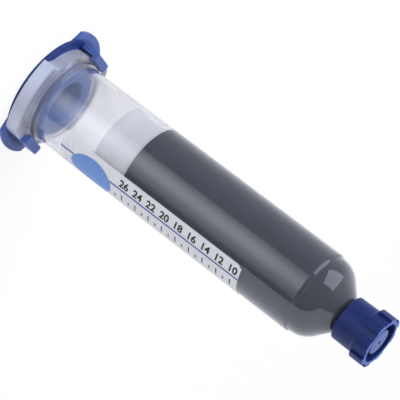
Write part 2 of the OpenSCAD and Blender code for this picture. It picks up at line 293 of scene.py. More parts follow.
# The inside: the bore, the dome one wall in, a flat ceiling and the outlet's channel
shoulder_step = TUBE_R - DOME_R
inner_curve = DOME_CURVE + shoulder_step - WALL
inner_z = DOME_Z - shoulder_step / sin(radians(DOME_SLOPE))
ceiling_z = collar_floor - WALL
inner_dome = dome_outline(BORE_R, inner_z, inner_curve, CHANNEL_R)
curve_end_r, curve_end_z = inner_dome[-2]
ceiling_r = curve_end_r - (ceiling_z - curve_end_z) * tan(radians(DOME_SLOPE))
inner_dome[-1] = (ceiling_r, ceiling_z)
inside = [(0, REAR_Z - CUT_PAST), (BORE_R, REAR_Z - CUT_PAST)] + inner_dome
inside += [(CHANNEL_R, ceiling_z), (CHANNEL_R, tip_z + CUT_PAST), (0, tip_z + CUT_PAST)]
combine(barrel, turned("bore", inside, BARREL_STEPS), "DIFFERENCE")
smooth(barrel)

# Natural polypropylene from a polished tool: a clear coat gives the sharp reflections
# of the studio, and the plastic under it is slightly hazy. It is milky out in the
# flange, most of all in its upright rim, and a little towards the tube's root. There
# the haze is stronger, and the light bends less than in the real plastic, which keeps
# the thick ring from turning black.
clear_polypropylene, tree = material("natural_polypropylene")
place = node(tree, "ShaderNodeTexCoord")
level = node(tree, "ShaderNodeVectorMath", {0: place.outputs["Object"], 1: (1, 1, 0)}, operation="MULTIPLY")
radius = node(tree, "ShaderNodeVectorMath", {0: level.outputs[0]}, operation="LENGTH")
axes = node(tree, "ShaderNodeSeparateXYZ", {0: place.outputs["Object"]})
in_flange = node(tree, "ShaderNodeMapRange", {
    "Value": radius.outputs["Value"], "From Min": MILK_FROM * MM, "From Max": MILK_TO * MM})
facing = node(tree, "ShaderNodeSeparateXYZ", {0: place.outputs["Normal"]})
upright = node(tree, "ShaderNodeMath", {0: facing.outputs["Z"]}, operation="ABSOLUTE")
in_rim = node(tree, "ShaderNodeMapRange", {
    "Value": upright.outputs[0], "To Min": RIM_MILK, "To Max": FACE_MILK})
rim_milk = node(tree, "ShaderNodeMath", {0: in_flange.outputs[0], 1: in_rim.outputs[0]}, operation="MULTIPLY")
root_milk = node(tree, "ShaderNodeMapRange", {
    "Value": axes.outputs["Z"], "From Min": ROOT_MILK_FROM * MM, "From Max": ROOT_MILK_TO * MM,
    "To Min": WALL_MILK, "To Max": ROOT_MILK})
milk = node(tree, "ShaderNodeMath", {0: rim_milk.outputs[0], 1: root_milk.outputs[0]}, operation="MAXIMUM")
clear = node(tree, "ShaderNodeMath", {0: 1.0, 1: milk.outputs[0]}, operation="SUBTRACT")
tint = node(tree, "ShaderNodeMix", {
    "Factor": milk.outputs[0], 6: linear(CLEAR_TINT), 7: linear(MILK_TINT)}, data_type="RGBA")
haze = node(tree, "ShaderNodeMapRange", {
    "Value": axes.outputs["Z"], "From Min": ROOT_FROM * MM, "From Max": ROOT_TO * MM,
    "To Min": WALL_HAZE, "To Max": ROOT_HAZE})
bend = node(tree, "ShaderNodeMapRange", {
    "Value": axes.outputs["Z"], "From Min": ROOT_FROM * MM, "From Max": ROOT_TO * MM,
    "To Min": WALL_BEND, "To Max": ROOT_BEND})
plastic = node(tree, "ShaderNodeBsdfPrincipled", {
    "Base Color": tint.outputs[2], "Roughness": haze.outputs[0], "IOR": bend.outputs[0],
    "Specular IOR Level": 0.0, "Transmission Weight": clear.outputs[0],
    "Coat Weight": 1.0, "Coat Roughness": 0.03})

# Light on its way to what lies behind the wall goes straight on, so that the paste
# and the piston are lit evenly. The thick foot lets less of it through.
at_foot = node(tree, "ShaderNodeMapRange", {
    "Value": axes.outputs["Z"], "From Min": ROOT_TO * MM, "From Max": FOOT_TO * MM})
shade = node(tree, "ShaderNodeMix", {
    "Factor": at_foot.outputs[0], 6: linear(PASSING_TINT), 7: linear(PASSING_AT_FOOT)}, data_type="RGBA")
passing = node(tree, "ShaderNodeBsdfTransparent", {"Color": shade.outputs[2]})
path = node(tree, "ShaderNodeLightPath")
through = node(tree, "ShaderNodeMath", {
    0: path.outputs["Is Shadow Ray"], 1: path.outputs["Is Diffuse Ray"]}, operation="MAXIMUM")
wall = node(tree, "ShaderNodeMixShader", {
    0: through.outputs[0], 1: plastic.outputs[0], 2: passing.outputs[0]})
absorbed = node(tree, "ShaderNodeVolumeAbsorption", {
    "Color": linear(ABSORB_TINT), "Density": ABSORB_DENSITY})
node(tree, "ShaderNodeOutputMaterial", {"Surface": wall.outputs[0], "Volume": absorbed.outputs[0]})
dress(barrel, clear_polypropylene)
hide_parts("barrel")
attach(barrel, "barrel")


# Solder paste
# Grey solder paste, a fine tin alloy powder in flux, fills the barrel from the
# piston to the outlet. It wets the wall, so its surface lies a hair inside the
# plastic.

WET = 0.03
COLUMN_TOP = 99.0
LAYER_T, LAYER_GAP = 0.03, 0.01
CROWN_RISE, PISTON_TRAVEL = 0.8, 60
OUTLET_SHORT = 0.1
PASTE_GREY, PASTE_PALE = "#353742", "#3B3D48"
STREAK, GRAIN = 6.25, 0.4

# Solder paste behind a wet wall: dull grey with a blue cast, and faint streaks
# where it was filled. The grains are far too fine to see, so they are drawn as
# coarse as GRAIN.
wet_paste, tree = material("solder_paste_wetted")
place = node(tree, "ShaderNodeTexCoord")
stretch = node(tree, "ShaderNodeMapping", {"Vector": place.outputs["Object"], "Scale": (1, 1, 0.25)})
streak = node(tree, "ShaderNodeTexNoise", {
    "Vector": stretch.outputs[0], "Scale": 1 / (STREAK * MM), "Detail": 3})
grain = node(tree, "ShaderNodeTexNoise", {
    "Vector": place.outputs["Object"], "Scale": 1 / (GRAIN * MM), "Detail": 2})
mottle = node(tree, "ShaderNodeMix", {"Factor": 0.2, 2: streak.outputs["Fac"], 3: grain.outputs["Fac"]})
tone = node(tree, "ShaderNodeMapRange", {"Value": mottle.outputs[0], "From Min": 0.35, "From Max": 0.65})
grey = node(tree, "ShaderNodeMix", {
    "Factor": tone.outputs[0], 6: linear(PASTE_GREY), 7: linear(PASTE_PALE)}, data_type="RGBA")
paste = node(tree, "ShaderNodeBsdfPrincipled", {
    "Base Color": grey.outputs[2], "Roughness": 0.9, "Specular IOR Level": 0.0})
node(tree, "ShaderNodeOutputMaterial", {"Surface": paste.outputs[0]})

# Three pieces: a layer that moves with the piston's crown, a column, and the rest;
# the column and the rest stay with the barrel
paste_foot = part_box("piston")[1].z / MM + WET
layer_top = paste_foot + LAYER_T
column_foot = layer_top + LAYER_GAP
wet_r = BORE_R + WET
layer = turned("paste_layer", [
    (0, paste_foot), (wet_r, paste_foot - CROWN_RISE), (wet_r, layer_top), (0, layer_top)])
column = turned("paste_column", [
    (0, column_foot), (wet_r, column_foot), (wet_r, COLUMN_TOP), (0, COLUMN_TOP)])
wet_dome = [(r + WET, z + WET) for r, z in inner_dome if z > COLUMN_TOP]
rest = turned("paste_dome", [(0, COLUMN_TOP), (wet_r, COLUMN_TOP)] + wet_dome + [
    (CHANNEL_R + WET, ceiling_z + WET), (CHANNEL_R + WET, tip_z - OUTLET_SHORT), (0, tip_z - OUTLET_SHORT)])
for piece in (layer, column, rest):
    smooth(piece)
    dress(piece, wet_paste)
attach(layer, "piston")
for piece in (column, rest):
    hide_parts("solder_paste")
    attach(piece, "barrel")
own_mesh(column)


# Piston
# The piston is a hollow white cup of natural polyethylene with a wiping lip at
# each end. Air pressure behind it pushes it along the tube.

PISTON_R, LIP_LEN, LIP_EDGE = 11.3, 1.6, 0.2
WAIST_DEPTH, WAIST_STEPS = 0.45, 24
CUP_BORE, CUP_WALL, CUP_FILLET = 9.55, 1.3, 0.4
PISTON_WHITE, PISTON_PALE = "#DDDEE1", "#E4E5E7"
PISTON_CLOUD = 3.333

# Natural polyethylene: waxy, softly lit from within, and clouded a few millimetres wide
natural_polyethylene, tree = material("natural_polyethylene")
place = node(tree, "ShaderNodeTexCoord")
cloud = node(tree, "ShaderNodeTexNoise", {
    "Vector": place.outputs["Object"], "Scale": 1 / (PISTON_CLOUD * MM), "Detail": 3})
white = node(tree, "ShaderNodeMix", {
    "Factor": cloud.outputs["Fac"], 6: linear(PISTON_WHITE), 7: linear(PISTON_PALE)}, data_type="RGBA")
skin = node(tree, "ShaderNodeBump", {"Height": cloud.outputs["Fac"], "Strength": 0.1, "Distance": 0.1 * MM})
cup = node(tree, "ShaderNodeBsdfPrincipled", {
    "Base Color": white.outputs[2], "Roughness": 0.5, "IOR": 1.51,
    "Subsurface Weight": 1.0, "Subsurface Radius": (1, 1, 1), "Subsurface Scale": 8 * MM,
    "Normal": skin.outputs["Normal"]})
node(tree, "ShaderNodeOutputMaterial", {"Surface": cup.outputs[0]})

# Half the cup's section: crown, front lip, waist, rear lip and the hollow
piston_foot, piston_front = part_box("piston")[0].z / MM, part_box("piston")[1].z / MM - CROWN_RISE
waist_low, waist_high = piston_foot + LIP_LEN, piston_front - LIP_LEN
cup_outline = [(0, piston_front + CROWN_RISE)]
cup_outline += arc(PISTON_R - LIP_EDGE, piston_front - LIP_EDGE, LIP_EDGE, 90, 0, 5)
for i in range(WAIST_STEPS + 1):
    sink = WAIST_DEPTH * (1 - cos(2 * pi * i / WAIST_STEPS)) / 2
    cup_outline.append((PISTON_R - sink, waist_high + (waist_low - waist_high) * i / WAIST_STEPS))
cup_outline += arc(PISTON_R - LIP_EDGE, piston_foot + LIP_EDGE, LIP_EDGE, 0, -90, 5)
cup_outline += arc(CUP_BORE + LIP_EDGE, piston_foot + LIP_EDGE, LIP_EDGE, 270, 180, 5)
cup_outline += arc(CUP_BORE - CUP_FILLET, piston_front - CUP_WALL - CUP_FILLET, CUP_FILLET, 0, 90, 5)
cup_outline += [(0, piston_front + CROWN_RISE - CUP_WALL)]
piston = turned("piston_moulding", cup_outline)
smooth(piston, 35)
dress(piston, natural_polyethylene)
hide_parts("piston")
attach(piston, "piston")


# End cap
# The end cap snaps over the flange with two hooks and plugs the tube. It is blue
# polypropylene, moulded in one piece, and lets a little light into its edges.

CAP_EDGE, SHARP_TURN = 0.18, 30
HOOK_BLUE, HOOK_PALE = "#4961A6", "#4E68AF"
# Painted shade darkens the disc beside the flange, and painted light brightens the disc under the flange
DISC_SHADE_BLUE, UNDER_FLANGE_LIGHT_BLUE = "#253A7E", "#2C54B8"
# Painted light: the thin plug and its recess's floor are painted paler, as a glow of light coming through
# them
PLUG_GLOW_BLUE, RECESS_GLOW_BLUE = "#1F549B", "#3068B0"
DISC_TOP, PLUG_OUT, RECESS_OUT = 1.5, 12, 6.9
EAR_FROM, EAR_TO = 17.5, 18.5
# Radii over which the painted light under the flange fades in
UNDER_FLANGE_LIGHT_FROM, UNDER_FLANGE_LIGHT_TO = 15.2, 14.6
CAP_CLOUD = 4


def refined(name, round_by):
    """A copy of a CAD node's mesh with its edges rounded by a radius in millimetres."""
    piece = placed(name + "_moulding", nodes[name].data.copy())
    mesh = bmesh.new()
    mesh.from_mesh(piece.data)
    bmesh.ops.remove_doubles(mesh, verts=mesh.verts, dist=0.5 * TINY * MM)
    bmesh.ops.dissolve_limit(mesh, angle_limit=radians(0.5), verts=mesh.verts, edges=mesh.edges)
    mesh.to_mesh(piece.data)
    mesh.free()
    if round_by:
        edges = piece.modifiers.new("edges", "BEVEL")
        edges.width = round_by * MM
        edges.segments = 3
        edges.limit_method = "ANGLE"
        edges.angle_limit = radians(SHARP_TURN)
        settle(piece)
        trimmed(piece)
    smooth(piece, 32)
    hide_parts(name)
    return piece


# Blue polypropylene from a satin tool, with light and shade painted into its colour:
# painted shade darkens the disc, painted light brightens it where the clear flange covers it,
# and a painted glow makes the thin plug and the floor of its recess clear blue. The ears and hooks have the
# plain colour.
blue_polypropylene, tree = material("blue_polypropylene")
place = node(tree, "ShaderNodeTexCoord")
cloud = node(tree, "ShaderNodeTexNoise", {
    "Vector": place.outputs["Object"], "Scale": 1 / (CAP_CLOUD * MM), "Detail": 3})
blue = node(tree, "ShaderNodeMix", {
    "Factor": cloud.outputs["Fac"], 6: linear(HOOK_BLUE), 7: linear(HOOK_PALE)}, data_type="RGBA")
level = node(tree, "ShaderNodeVectorMath", {0: place.outputs["Object"], 1: (1, 1, 0)}, operation="MULTIPLY")
radius = node(tree, "ShaderNodeVectorMath", {0: level.outputs[0]}, operation="LENGTH")
axes = node(tree, "ShaderNodeSeparateXYZ", {0: place.outputs["Object"]})
over_disc = node(tree, "ShaderNodeMath", {0: axes.outputs["Z"], 1: DISC_TOP * MM}, operation="GREATER_THAN")
in_plug = node(tree, "ShaderNodeMath", {
    0: radius.outputs["Value"], 1: PLUG_OUT * MM}, operation="LESS_THAN")
plug_glow_zone = node(tree, "ShaderNodeMath", {0: over_disc.outputs[0], 1: in_plug.outputs[0]}, operation="MULTIPLY")
in_ear = node(tree, "ShaderNodeMapRange", {
    "Value": radius.outputs["Value"], "From Min": EAR_FROM * MM, "From Max": EAR_TO * MM})
off_disc = node(tree, "ShaderNodeMath", {0: over_disc.outputs[0], 1: in_ear.outputs[0]}, operation="MAXIMUM")
# Painted light under the flange, painted shade on the rest of the disc
under_flange_light = node(tree, "ShaderNodeMapRange", {
    "Value": radius.outputs["Value"], "From Min": UNDER_FLANGE_LIGHT_FROM * MM, "From Max": UNDER_FLANGE_LIGHT_TO * MM})
disc_shade_blue = node(tree, "ShaderNodeMix", {
    "Factor": under_flange_light.outputs[0], 6: linear(DISC_SHADE_BLUE), 7: linear(UNDER_FLANGE_LIGHT_BLUE)}, data_type="RGBA")
blue_with_disc_shade = node(tree, "ShaderNodeMix", {
    "Factor": off_disc.outputs[0], 6: disc_shade_blue.outputs[2], 7: blue.outputs[2]}, data_type="RGBA")
# Painted light glowing through the thin plug, brightest in its recess
in_recess = node(tree, "ShaderNodeMath", {
    0: radius.outputs["Value"], 1: RECESS_OUT * MM}, operation="LESS_THAN")
thin_glow_blue = node(tree, "ShaderNodeMix", {
    "Factor": in_recess.outputs[0], 6: linear(PLUG_GLOW_BLUE), 7: linear(RECESS_GLOW_BLUE)}, data_type="RGBA")
# The base colour, with the painted light and painted shade laid in
blue_with_painted_light = node(tree, "ShaderNodeMix", {
    "Factor": plug_glow_zone.outputs[0], 6: blue_with_disc_shade.outputs[2], 7: thin_glow_blue.outputs[2]}, data_type="RGBA")
skin = node(tree, "ShaderNodeBump", {"Height": cloud.outputs["Fac"], "Strength": 0.12, "Distance": 0.1 * MM})
cap = node(tree, "ShaderNodeBsdfPrincipled", {
    "Base Color": blue_with_painted_light.outputs[2], "Roughness": 0.36, "IOR": 1.49, "Specular IOR Level": 0.25,
    "Subsurface Weight": 0.2, "Subsurface Radius": (0.3, 0.5, 1), "Subsurface Scale": MM,
    "Normal": skin.outputs["Normal"]})
node(tree, "ShaderNodeOutputMaterial", {"Surface": cap.outputs[0]})
end_cap = refined("end_cap", CAP_EDGE)
dress(end_cap, blue_polypropylene)
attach(end_cap, "end_cap")


# Tip cap
# The tip cap closes the luer lock. It is one moulding of dark blue polypropylene:
# a sleeve over the collar, a spigot inside it, and grip ribs round the open front.

SLEEVE_R, SLEEVE_WALL, CAP_DRAFT, MOUTH_EDGE = 6.66, 1.0, 0.16, 0.35
SLEEVE_OVER_DOME = 1.8
CAP_LEN, GRIP_LEN, GRIP_STEP = 11.82, 5.4, 0.42
STEP_FOOT, STEP_TOP = ((0, -0.15), (0.03, 0), (0.1, 0.12)), ((0, 0), (0.05, 0.15))
RIB_LEN, RIB_H, RIB_ARC, RIB_EDGE, RIBS = 4.5, 0.72, 23, 0.2, 8
RIB_TURN, RIB_SHORT = -67.5, 0.01
RIM_T, RIM_EDGE, RIM_INNER_EDGE = 1.05, 0.2, 0.12
POST_R, POST_DROP, POST_EDGE = 3.9, 0.5, 0.2
WEB_GAP, WEB_T, SPIGOT_R, SPIGOT_ROOM = 0.3, 1.1, 3.35, 0.6
LUG_W, LUG_T, LUG_GAP, LUG_EDGE, LUGS = 3.0, 1.2, 0.15, 0.1, 2
LUG_SUNK, LUG_RISE = 0.4, 0.05
SOCKET_FIT, SOCKET_ROOM = 0.04, 0.3
GATE_R, GATE_DEPTH = 0.5, 0.3
SLEEVE_Z = collar_z + (COLLAR_R - SLEEVE_R) / tan(radians(DOME_SLOPE)) + SLEEVE_OVER_DOME
RIM_Z = SLEEVE_Z + CAP_LEN

NAVY, NAVY_PALE = "#142662", "#182B69"
# Painted light on the post's face, painted shade in the gate's pit, and a painted highlight on the rim
POST_LIGHT_BLUE, MARK_SHADE_BLUE, RIM_HIGHLIGHT_BLUE = "#5268A0", "#0C1640", "#4A68B4"
SHEEN_BLUE = "#7FA2FF"
PATCH_MORE = 0.1
# Where the rim's painted highlight starts and is full, and how strong it is
RIM_LIT_FROM, RIM_LIT_TO, RIM_LIT = 0.3, 0.05, 0.8
TIP_CLOUD = 2.857


def shape_tree(name, inputs):
    """A Geometry Nodes tree with named inputs: the tree, what they give, and their identifiers."""
    group = bpy.data.node_groups.new(name, "GeometryNodeTree")
    sockets = {}
    for wanted, kind in inputs.items():
        sockets[wanted] = group.interface.new_socket(wanted, in_out="INPUT", socket_type=kind).identifier
    group.interface.new_socket("Mesh", in_out="OUTPUT", socket_type="NodeSocketGeometry")
    return group, node(group, "NodeGroupInput").outputs, sockets


def run_tree(piece, group, sockets, values):
    """Runs such a tree on a piece, with a value for each input, and keeps its result as a plain mesh."""
    stamp = piece.modifiers.new("stamp", "NODES")
    stamp.node_group = group
    for name, value in values.items():
        stamp[sockets[name]] = value
    settle(piece)


def raised(name, outline, low, high, edge):
    """A plate with the given outline from height low to high, with its edges rounded."""
    mesh = bmesh.new()
    foot = [mesh.verts.new((x, y, low)) for x, y in outline]
    top = [mesh.verts.new((x, y, high)) for x, y in outline]
    mesh.faces.new(foot)
    mesh.faces.new(top)
    for i in range(len(outline)):
        j = (i + 1) % len(outline)
        mesh.faces.new((foot[i], foot[j], top[j], top[i]))
    bmesh.ops.recalc_face_normals(mesh, faces=mesh.faces)
    sharp = [e for e in mesh.edges if e.calc_face_angle() > radians(SHARP_TURN)]
    bmesh.ops.bevel(mesh, geom=sharp, offset=edge, segments=4, profile=0.5, affect="EDGES")
    return added(name, mesh)


# Dark blue polypropylene, satin, with a faint sheen. Painted light makes the post's face paler,
# a painted highlight runs round the thin rim, and the gate's mark is a pit painted dark as shade.
dark_polypropylene, tree = material("dark_blue_polypropylene")
place = node(tree, "ShaderNodeTexCoord")
cloud = node(tree, "ShaderNodeTexNoise", {
    "Vector": place.outputs["Object"], "Scale": 1 / (TIP_CLOUD * MM), "Detail": 3})
navy = node(tree, "ShaderNodeMix", {
    "Factor": cloud.outputs["Fac"], 6: linear(NAVY), 7: linear(NAVY_PALE)}, data_type="RGBA")
level = node(tree, "ShaderNodeVectorMath", {0: place.outputs["Object"], 1: (1, 1, 0)}, operation="MULTIPLY")
radius = node(tree, "ShaderNodeVectorMath", {0: level.outputs[0]}, operation="LENGTH")
axes = node(tree, "ShaderNodeSeparateXYZ", {0: place.outputs["Object"]})
# The post's face is painted paler as painted light, and the gate's pit dark as painted shade
in_post = node(tree, "ShaderNodeMath", {
    0: radius.outputs["Value"], 1: (POST_R + PATCH_MORE) * MM}, operation="LESS_THAN")
in_mark = node(tree, "ShaderNodeMath", {
    0: radius.outputs["Value"], 1: (GATE_R + PATCH_MORE) * MM}, operation="LESS_THAN")
post_light_and_mark_shade = node(tree, "ShaderNodeMix", {
    "Factor": in_mark.outputs[0], 6: linear(POST_LIGHT_BLUE), 7: linear(MARK_SHADE_BLUE)}, data_type="RGBA")
lit_navy = node(tree, "ShaderNodeMix", {
    "Factor": in_post.outputs[0], 6: navy.outputs[2], 7: post_light_and_mark_shade.outputs[2]}, data_type="RGBA")
# A painted highlight along the thin rim
rim_highlight = node(tree, "ShaderNodeMapRange", {
    "Value": axes.outputs["Z"], "From Min": (RIM_Z - RIM_LIT_FROM) * MM,
    "From Max": (RIM_Z - RIM_LIT_TO) * MM, "To Max": RIM_LIT})
cap_blue = node(tree, "ShaderNodeMix", {
    "Factor": rim_highlight.outputs[0], 6: lit_navy.outputs[2], 7: linear(RIM_HIGHLIGHT_BLUE)}, data_type="RGBA")
skin = node(tree, "ShaderNodeBump", {"Height": cloud.outputs["Fac"], "Strength": 0.12, "Distance": 0.1 * MM})
cap = node(tree, "ShaderNodeBsdfPrincipled", {
    "Base Color": cap_blue.outputs[2], "Roughness": 0.4, "IOR": 1.49, "Specular IOR Level": 0.3,
    "Sheen Weight": 0.25, "Sheen Roughness": 0.4, "Sheen Tint": linear(SHEEN_BLUE),
    "Subsurface Weight": 0.15, "Subsurface Radius": (0.4, 0.5, 1), "Subsurface Scale": 0.8 * MM,
    "Normal": skin.outputs["Normal"]})
node(tree, "ShaderNodeOutputMaterial", {"Surface": cap.outputs[0]})

# From the socket on the outlet cone: spigot, web, sleeve, grip, open front and the
# post in front of the web, with the gate's mark
grip_z = RIM_Z - GRIP_LEN
grip_r, front_r = SLEEVE_R + GRIP_STEP, SLEEVE_R + GRIP_STEP + CAP_DRAFT
half_r = SLEEVE_R + CAP_DRAFT * (grip_z - SLEEVE_Z) / CAP_LEN
front_in, sleeve_in = front_r - RIM_T, SLEEVE_R - SLEEVE_WALL
web_z = collar_top + WEB_GAP
web_top, post_z = web_z + WEB_T, RIM_Z - POST_DROP
spigot_z, socket_top = collar_floor + SPIGOT_ROOM, tip_z + SOCKET_ROOM
shell = [(0, socket_top), (luer_r(socket_top) + SOCKET_FIT, socket_top)]
shell += [(luer_r(spigot_z) + SOCKET_FIT, spigot_z), (SPIGOT_R, spigot_z), (SPIGOT_R, web_z)]
shell += [(sleeve_in, web_z), (sleeve_in, SLEEVE_Z)]
shell += arc(SLEEVE_R - MOUTH_EDGE, SLEEVE_Z + MOUTH_EDGE, MOUTH_EDGE, -90, 0, 6)
# The step out to the grip slopes, eased at its foot and at its top
shell += [(half_r + out, grip_z + up) for out, up in STEP_FOOT]
shell += [(grip_r + out, grip_z + GRIP_STEP + up) for out, up in STEP_TOP]
shell += arc(front_r - RIM_EDGE, RIM_Z - RIM_EDGE, RIM_EDGE, 0, 90, 6)
shell += arc(front_in + RIM_INNER_EDGE, RIM_Z - RIM_INNER_EDGE, RIM_INNER_EDGE, 90, 180, 4)
shell += [(front_in, web_top), (POST_R, web_top)]
shell += arc(POST_R - POST_EDGE, post_z - POST_EDGE, POST_EDGE, 0, 90, 6)
shell += [(GATE_R, post_z), (GATE_R, post_z - GATE_DEPTH), (0, post_z - GATE_DEPTH)]
tip_cap = turned("tip_cap_moulding", shell)

# A tree that repeats the piece it is given round the axis
ring, given, ring_inputs = shape_tree("copies_round_the_axis", {
    "Piece": "NodeSocketGeometry", "Count": "NodeSocketInt", "Plastic": "NodeSocketMaterial"})
centres = node(ring, "GeometryNodeMeshLine", {"Count": given["Count"], "Offset": (0, 0, 0)})
which = node(ring, "GeometryNodeInputIndex")
share = node(ring, "ShaderNodeMath", {0: 2 * pi, 1: given["Count"]}, operation="DIVIDE")
turn = node(ring, "ShaderNodeMath", {0: which.outputs[0], 1: share.outputs[0]}, operation="MULTIPLY")
spin = node(ring, "ShaderNodeCombineXYZ", {"Z": turn.outputs[0]})
copies = node(ring, "GeometryNodeInstanceOnPoints", {
    "Points": centres.outputs[0], "Instance": given["Piece"], "Rotation": spin.outputs[0]})
real = node(ring, "GeometryNodeRealizeInstances", {0: copies.outputs[0]})
moulded = node(ring, "GeometryNodeSetMaterial", {0: real.outputs[0], "Material": given["Plastic"]})
node(ring, "NodeGroupOutput", {0: moulded.outputs[0]})

# Grip ribs, each a block with round edges that is sunk into the grip
rib_ends = RIB_TURN - RIB_ARC / 2, RIB_TURN + RIB_ARC / 2
sector = arc(0, 0, front_r + RIB_H, *rib_ends, 12) + arc(0, 0, front_r - RIM_T / 2, *reversed(rib_ends), 6)
ribs = raised("ribs", sector, RIM_Z - RIB_LEN, RIM_Z - RIB_SHORT, RIB_EDGE)
run_tree(ribs, ring, ring_inputs, {"Count": RIBS, "Plastic": dark_polypropylene})
combine(tip_cap, ribs, "UNION")

# Lugs on the spigot, which stand for the thread
lug_r = COLLAR_BORE - LUG_GAP
wide = degrees(LUG_W / 2 / lug_r)
lug = arc(0, 0, lug_r, -wide, wide, 8) + arc(0, 0, SPIGOT_R - LUG_SUNK, wide, -wide, 4)
lugs = raised("lugs", lug, spigot_z + LUG_RISE, spigot_z + LUG_T, LUG_EDGE)
run_tree(lugs, ring, ring_inputs, {"Count": LUGS, "Plastic": dark_polypropylene})
combine(tip_cap, lugs, "UNION")
smooth(tip_cap, 30)
dress(tip_cap, dark_polypropylene)
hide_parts("tip_cap")
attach(tip_cap, "tip_cap")


# Label
# A pale plastic film on the tube. Its print is plain: a blue oval, a blue line
# and a scale of cubic centimetres in black, which reads towards the outlet.

LABEL_OUT, LABEL_Z = 12.71, (16.42, 81.52)
FILM_PALE, FILM_WHITE = "#EAEBF0", "#F0F1F5"
FILM_CLOUD = 2.5
BARE_FROM, BARE_TO = 26, 16.5
FILM_PASSES, BARE_PASSES, EDGE_PASSES, EDGE_FACING = 0.18, 0.8, 0.9, 0.5
INK_T, INK_GAP, BEND_STEP = 0.02, 0.004, 0.5
OVAL_INK, LINE_INK, SCALE_INK = "#6A96DC", "#3F62A8", "#0E0F12"
LINE_TURN, LINE_W = -39.5, 0.55
BADGE_Z, BADGE_TURNS = (20.6, 35.4), (-53, -3)
NUMBER_TURN, NUMBER_SIZE, NUMBER_BOLD = -48.4, 3.3, 0.1
TICKS_TURN, TICK_W, TICK_LEN, LONG_TICK_LEN = -19.5, 0.4, 1.5, 2.6
CC_LEN, TEN_CC_Z = 2.471, 79.07
LEAST_CC, MOST_CC, CC_STEP = 10, 26, 2


def wrapped(piece, turn, height):
    """Bends a flat piece round the label, as its print. Its x runs along the tube."""
    mesh = bmesh.new()
    mesh.from_mesh(piece.data)
    bmesh.ops.remove_doubles(mesh, verts=mesh.verts, dist=TINY)
    across = [v.co.y for v in mesh.verts]
    cuts = int((max(across) - min(across)) / BEND_STEP)
    for i in range(1, cuts + 1):
        cut = min(across) + (max(across) - min(across)) * i / (cuts + 1)
        bmesh.ops.bisect_plane(mesh, geom=mesh.verts[:] + mesh.edges[:] + mesh.faces[:],
                               dist=0.1 * TINY, plane_co=(0, cut, 0), plane_no=(0, 1, 0))
    for v in mesh.verts:
        angle = radians(turn) - v.co.y / LABEL_OUT
        out = LABEL_OUT + INK_GAP + v.co.z
        v.co = (out * cos(angle) * MM, out * sin(angle) * MM, (height + v.co.x) * MM)
    mesh.to_mesh(piece.data)
    mesh.free()
    for face in piece.data.polygons:
        face.use_smooth = False
    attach(piece, "barrel")


def printed(name, outline):
    """A flat piece of print with an outline in millimetres, still to be wrapped."""
    mesh = bmesh.new()
    foot = mesh.faces.new([mesh.verts.new((x, y, 0)) for x, y in outline])
    pulled = bmesh.ops.extrude_face_region(mesh, geom=[foot])["geom"]
    lifted = [e for e in pulled if isinstance(e, bmesh.types.BMVert)]
    bmesh.ops.translate(mesh, vec=(0, 0, INK_T), verts=lifted)
    return added(name, mesh, 1)


def scale_z(amount):
    """The height that so many cubic centimetres of paste, left in front of the piston, reach back to."""
    return TEN_CC_Z - (amount - 10) * CC_LEN


# Satin film, pale where it is printed and nearly clear towards the flange. Its cut
# edges are clear, and it lets by the light that falls on what lies behind it.
label_film, tree = material("satin_label_film")
place = node(tree, "ShaderNodeTexCoord")
cloud = node(tree, "ShaderNodeTexNoise", {
    "Vector": place.outputs["Object"], "Scale": 1 / (FILM_CLOUD * MM), "Detail": 3})
pale = node(tree, "ShaderNodeMix", {
    "Factor": cloud.outputs["Fac"], 6: linear(FILM_PALE), 7: linear(FILM_WHITE)}, data_type="RGBA")
film = node(tree, "ShaderNodeBsdfPrincipled", {
    "Base Color": pale.outputs[2], "Roughness": 0.3, "IOR": 1.49})
clear = node(tree, "ShaderNodeBsdfTransparent")
path = node(tree, "ShaderNodeLightPath")
axes = node(tree, "ShaderNodeSeparateXYZ", {0: place.outputs["Object"]})
unprinted = node(tree, "ShaderNodeMapRange", {
    "Value": axes.outputs["Z"], "From Min": BARE_FROM * MM, "From Max": BARE_TO * MM,
    "To Min": FILM_PASSES, "To Max": BARE_PASSES})
spoke = node(tree, "ShaderNodeVectorMath", {0: place.outputs["Object"], 1: (1, 1, 0)}, operation="MULTIPLY")
outward = node(tree, "ShaderNodeVectorMath", {0: spoke.outputs[0]}, operation="NORMALIZE")
facing = node(tree, "ShaderNodeVectorMath", {
    0: outward.outputs[0], 1: place.outputs["Normal"]}, operation="DOT_PRODUCT")
flat_on = node(tree, "ShaderNodeMath", {0: facing.outputs["Value"]}, operation="ABSOLUTE")
cut_edge = node(tree, "ShaderNodeMath", {0: flat_on.outputs[0], 1: EDGE_FACING}, operation="LESS_THAN")
lighting = node(tree, "ShaderNodeMath", {
    0: path.outputs["Is Shadow Ray"], 1: path.outputs["Is Diffuse Ray"]}, operation="MAXIMUM")
let_by = node(tree, "ShaderNodeMath", {0: lighting.outputs[0], 1: cut_edge.outputs[0]}, operation="MAXIMUM")
passes = node(tree, "ShaderNodeMapRange", {
    "Value": let_by.outputs[0], "To Min": unprinted.outputs[0], "To Max": EDGE_PASSES})
film_side = node(tree, "ShaderNodeMixShader", {0: passes.outputs[0], 1: film.outputs[0], 2: clear.outputs[0]})
node(tree, "ShaderNodeOutputMaterial", {"Surface": film_side.outputs[0]})
label = refined("label", 0)
dress(label, label_film)
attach(label, "barrel")

# Printing inks, dull and even: blue for the oval, darker for the line, black for the scale
inks = {}
for name, colour in (("blue_ink", OVAL_INK), ("dark_blue_ink", LINE_INK), ("black_ink", SCALE_INK)):
    inks[name], tree = material(name)
    ink = node(tree, "ShaderNodeBsdfPrincipled", {"Base Color": linear(colour), "Roughness": 0.4})
    node(tree, "ShaderNodeOutputMaterial", {"Surface": ink.outputs[0]})

